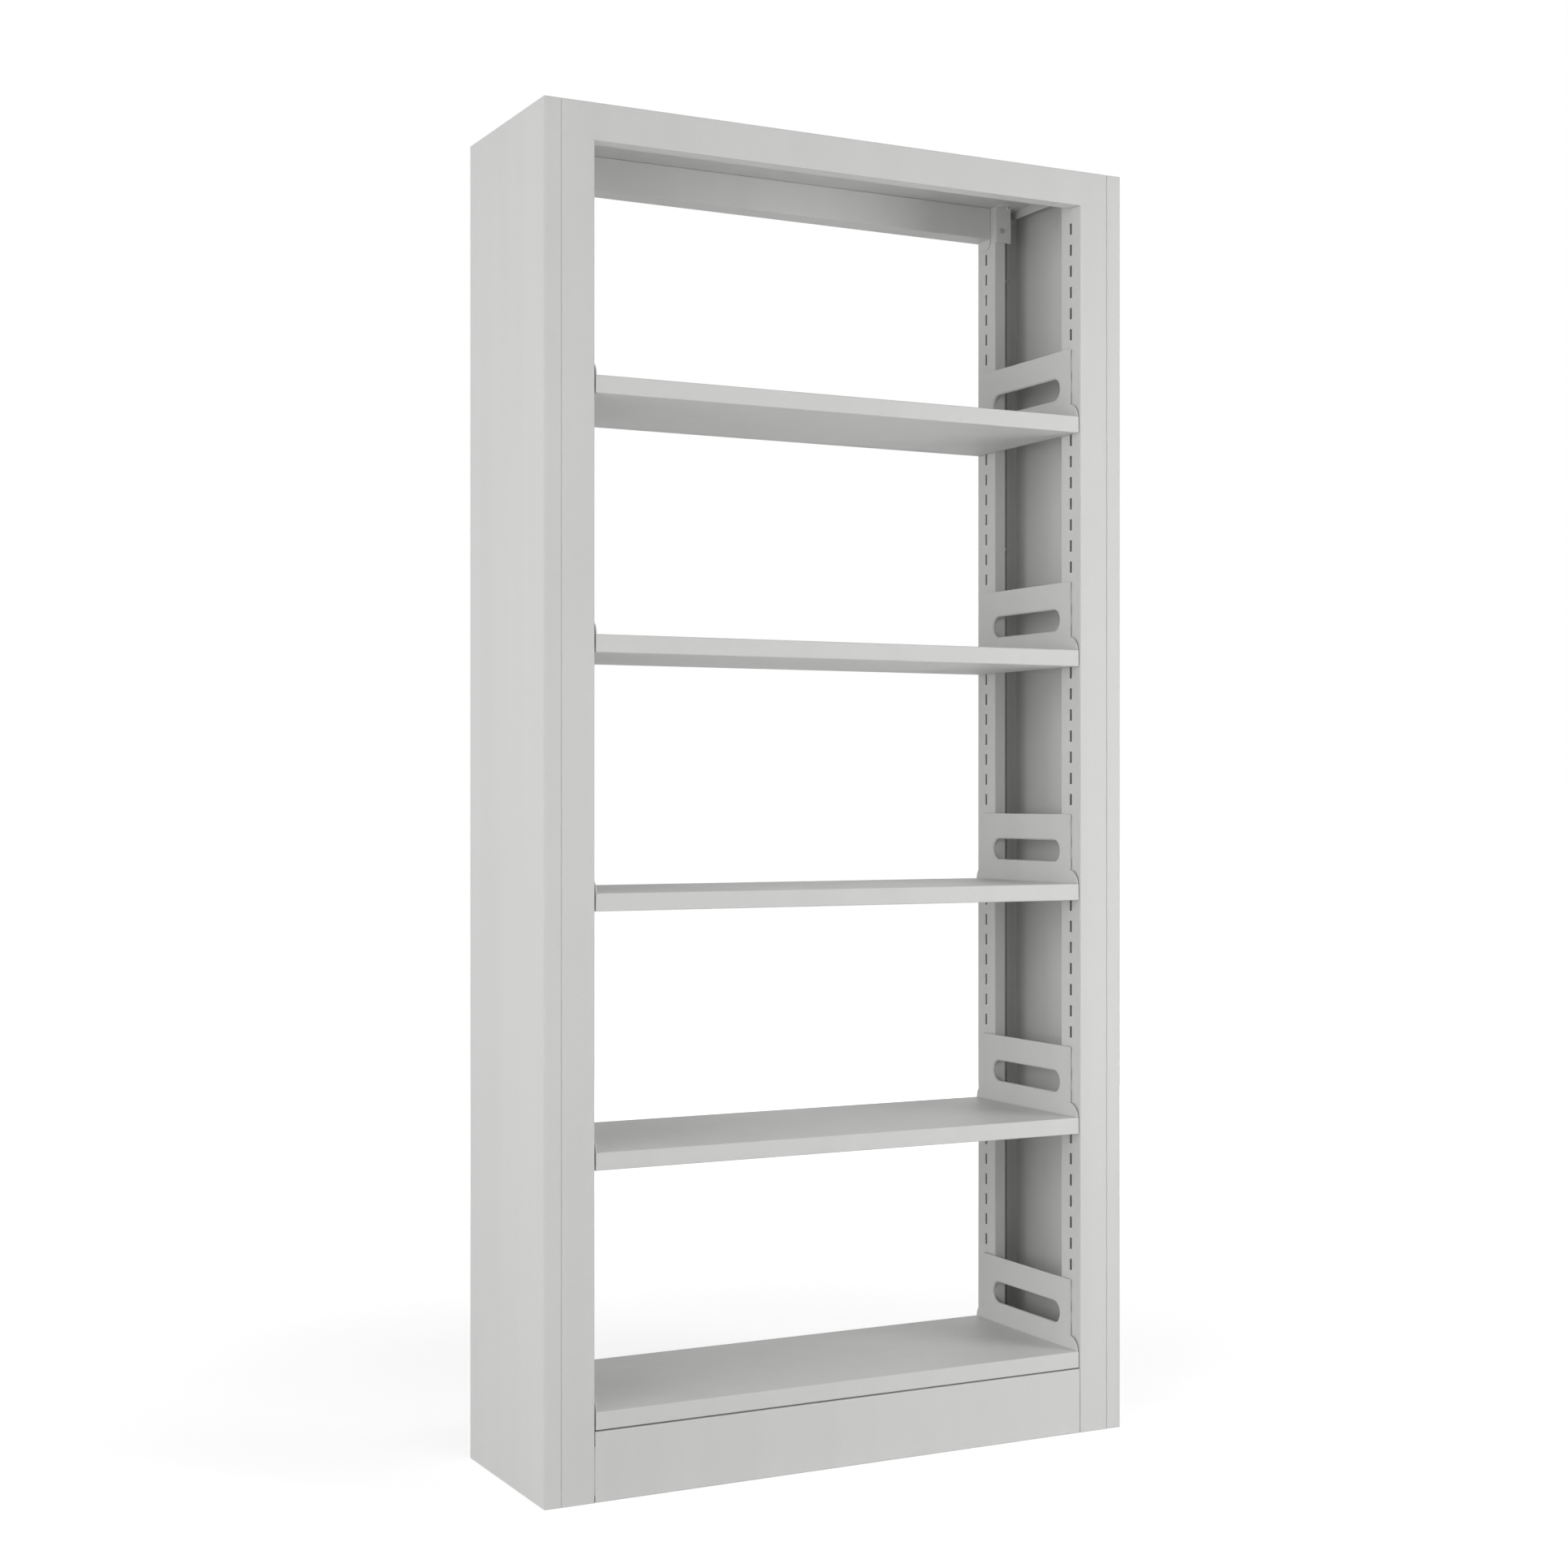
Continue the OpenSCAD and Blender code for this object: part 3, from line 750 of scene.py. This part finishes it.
def looked_at(tree):
    """A factor that is 1 where the viewer, a mirror or glass looks, and 0 for the light."""
    path = add_node(tree, "ShaderNodeLightPath")
    glossy = add_node(
        tree, "ShaderNodeMath",
        [(0, path, "Is Camera Ray"), (1, path, "Is Glossy Ray")], operation="MAXIMUM",
    )
    return add_node(
        tree, "ShaderNodeMath",
        [(0, glossy, "Value"), (1, path, "Is Transmission Ray")], operation="MAXIMUM",
    )


def white_floor():
    """Matt white studio floor. The viewer sees it with a white glow added, so that it runs into
    the white background and keeps only the unit's shadow. The glow makes up for what the lamps
    leave of white, which is less near the unit than far off."""
    material, tree, output = new_material("studio_floor")
    matt = add_node(tree, "ShaderNodeBsdfDiffuse", Color=(*linear("#e6e6e6"), 1))
    place = add_node(tree, "ShaderNodeTexCoord")
    away = add_node(tree, "ShaderNodeVectorMath", [(0, place, "Object")], operation="LENGTH")
    missing = add_node(
        tree, "ShaderNodeMapRange", [("Value", away, "Value")],
        interpolation_type="SMOOTHSTEP", From_Min=0.6, From_Max=3.0, To_Min=0.55, To_Max=0.82,
    )
    glow = add_node(
        tree, "ShaderNodeEmission", [("Strength", missing, "Result")], Color=(1, 1, 1, 1),
    )
    seen = add_node(tree, "ShaderNodeAddShader", [(0, matt, "BSDF"), (1, glow, "Emission")])
    mix = add_node(tree, "ShaderNodeMixShader", [("Fac", looked_at(tree), "Value")])
    tree.links.new(matt.outputs["BSDF"], mix.inputs[1])
    tree.links.new(seen.outputs["Shader"], mix.inputs[2])
    tree.links.new(mix.outputs["Shader"], output.inputs["Surface"])
    return material


def room_light(strength):
    """World that lights evenly with the given strength, and looks white."""
    world = bpy.data.worlds.new("studio_room")
    world.use_nodes = True
    tree = world.node_tree
    tree.nodes.clear()
    output = add_node(tree, "ShaderNodeOutputWorld")
    even = add_node(tree, "ShaderNodeBackground", Color=(1, 1, 1, 1), Strength=strength)
    white = add_node(tree, "ShaderNodeBackground", Color=(1, 1, 1, 1), Strength=1.0)
    mix = add_node(tree, "ShaderNodeMixShader", [("Fac", looked_at(tree), "Value")])
    tree.links.new(even.outputs["Background"], mix.inputs[1])
    tree.links.new(white.outputs["Background"], mix.inputs[2])
    tree.links.new(mix.outputs["Shader"], output.inputs["Surface"])
    return world


def soft_lamp(name, place, target, size, power):
    """Adds a rectangular softbox that faces a point and is itself unseen."""
    light = bpy.data.lights.new(name, "AREA")
    light.shape = "RECTANGLE"
    light.size, light.size_y = size
    light.energy = power
    lamp = bpy.data.objects.new(name, light)
    lamp.location = place
    lamp.rotation_euler = (Vector(target) - Vector(place)).to_track_quat("-Z", "Y").to_euler()
    lamp.visible_camera = False
    bpy.context.scene.collection.objects.link(lamp)


class BOOKSHELF_OT_stage(Operator):
    """Makes the floor, the lights, the background and the camera"""

    bl_idname = "bookshelf.stage"
    bl_label = "Make the Stage"

    def execute(self, context):
        scene = context.scene
        stage = scene.bookshelf.stage
        half_floor = 40.0
        side = np.array([-half_floor, half_floor])
        x, y = np.meshgrid(side, side)
        corners = np.stack([x.ravel(), y.ravel(), np.zeros(4)], axis=-1)
        mesh = bpy.data.meshes.new("studio_floor")
        mesh.from_pydata(corners.tolist(), [], [(0, 1, 3, 2)])
        floor = bpy.data.objects.new("studio_floor", mesh)
        scene.collection.objects.link(floor)
        coat(floor, white_floor())

        scene.world = room_light(stage.room)
        middle, right_end = (0, 0, 1.0), (0.3, 0, 1.0)
        square, tall, wide = (2.4, 2.4), (1.4, 2.2), (3.0, 2.4)
        soft_lamp("left_softbox", (-4.2, -0.9, 1.5), middle, square, stage.left)
        soft_lamp("front_left_softbox", (-3.6, -2.6, 1.4), middle, square, stage.front_left)
        soft_lamp("front_right_softbox", (2.1, -2.3, 1.2), right_end, tall, stage.front_right)
        soft_lamp("top_softbox", (0, -0.6, 4.2), middle, wide, stage.top)
        soft_lamp("rear_left_softbox", (-3.6, 3.4, 1.5), right_end, square, stage.rear_left)
        soft_lamp("rear_right_softbox", (2.8, 3.8, 1.5), middle, square, stage.rear_right)

        lens = bpy.data.cameras.new("viewpoint")
        lens.sensor_width = FILM_WIDTH
        lens.lens = stage.lens
        lens.shift_y = HORIZON_PIXELS / PHOTO_PIXELS
        camera = bpy.data.objects.new("viewpoint", lens)
        camera.location = VIEWPOINT
        camera.rotation_euler = Vector(HEADING).to_track_quat("-Z", "Y").to_euler()
        scene.collection.objects.link(camera)
        scene.camera = camera
        scene.view_settings.view_transform = "Standard"
        return {"FINISHED"}


class BOOKSHELF_PT_panel(Panel):
    """Lists the bookshelf's steps and settings"""

    bl_idname = "BOOKSHELF_PT_panel"
    bl_label = "Steel Bookshelf"
    bl_space_type = "VIEW_3D"
    bl_region_type = "UI"
    bl_category = "Bookshelf"

    def draw(self, context):
        settings = context.scene.bookshelf
        for group in (settings.coat, settings.fixing, settings.stage):
            box = self.layout.box()
            for name in group.__annotations__:
                box.prop(group, name)
        for step in STEPS:
            self.layout.operator(step.bl_idname)


STEPS = (
    BOOKSHELF_OT_sheets,
    BOOKSHELF_OT_seam_fixings,
    BOOKSHELF_OT_tab_fixings,
    BOOKSHELF_OT_lip_fixings,
    BOOKSHELF_OT_cover_nuts,
    BOOKSHELF_OT_stage,
)
CLASSES = (
    CoatSettings,
    FixingSettings,
    StageSettings,
    BookshelfSettings,
    *STEPS,
    BOOKSHELF_PT_panel,
)


def register():
    """Makes the classes and the scene's settings known."""
    for cls in CLASSES:
        bpy.utils.register_class(cls)
    bpy.types.Scene.bookshelf = PointerProperty(type=BookshelfSettings)


def unregister():
    """Takes the settings and the classes away again."""
    del bpy.types.Scene.bookshelf
    for cls in reversed(CLASSES):
        bpy.utils.unregister_class(cls)


def main():
    """Dresses the frame and sets the stage, in metres."""
    register()
    bpy.ops.bookshelf.sheets()
    bpy.ops.bookshelf.seam_fixings()
    bpy.ops.bookshelf.tab_fixings()
    bpy.ops.bookshelf.lip_fixings()
    bpy.ops.bookshelf.cover_nuts()
    bpy.ops.bookshelf.stage()


if __name__ == "__main__":
    main()
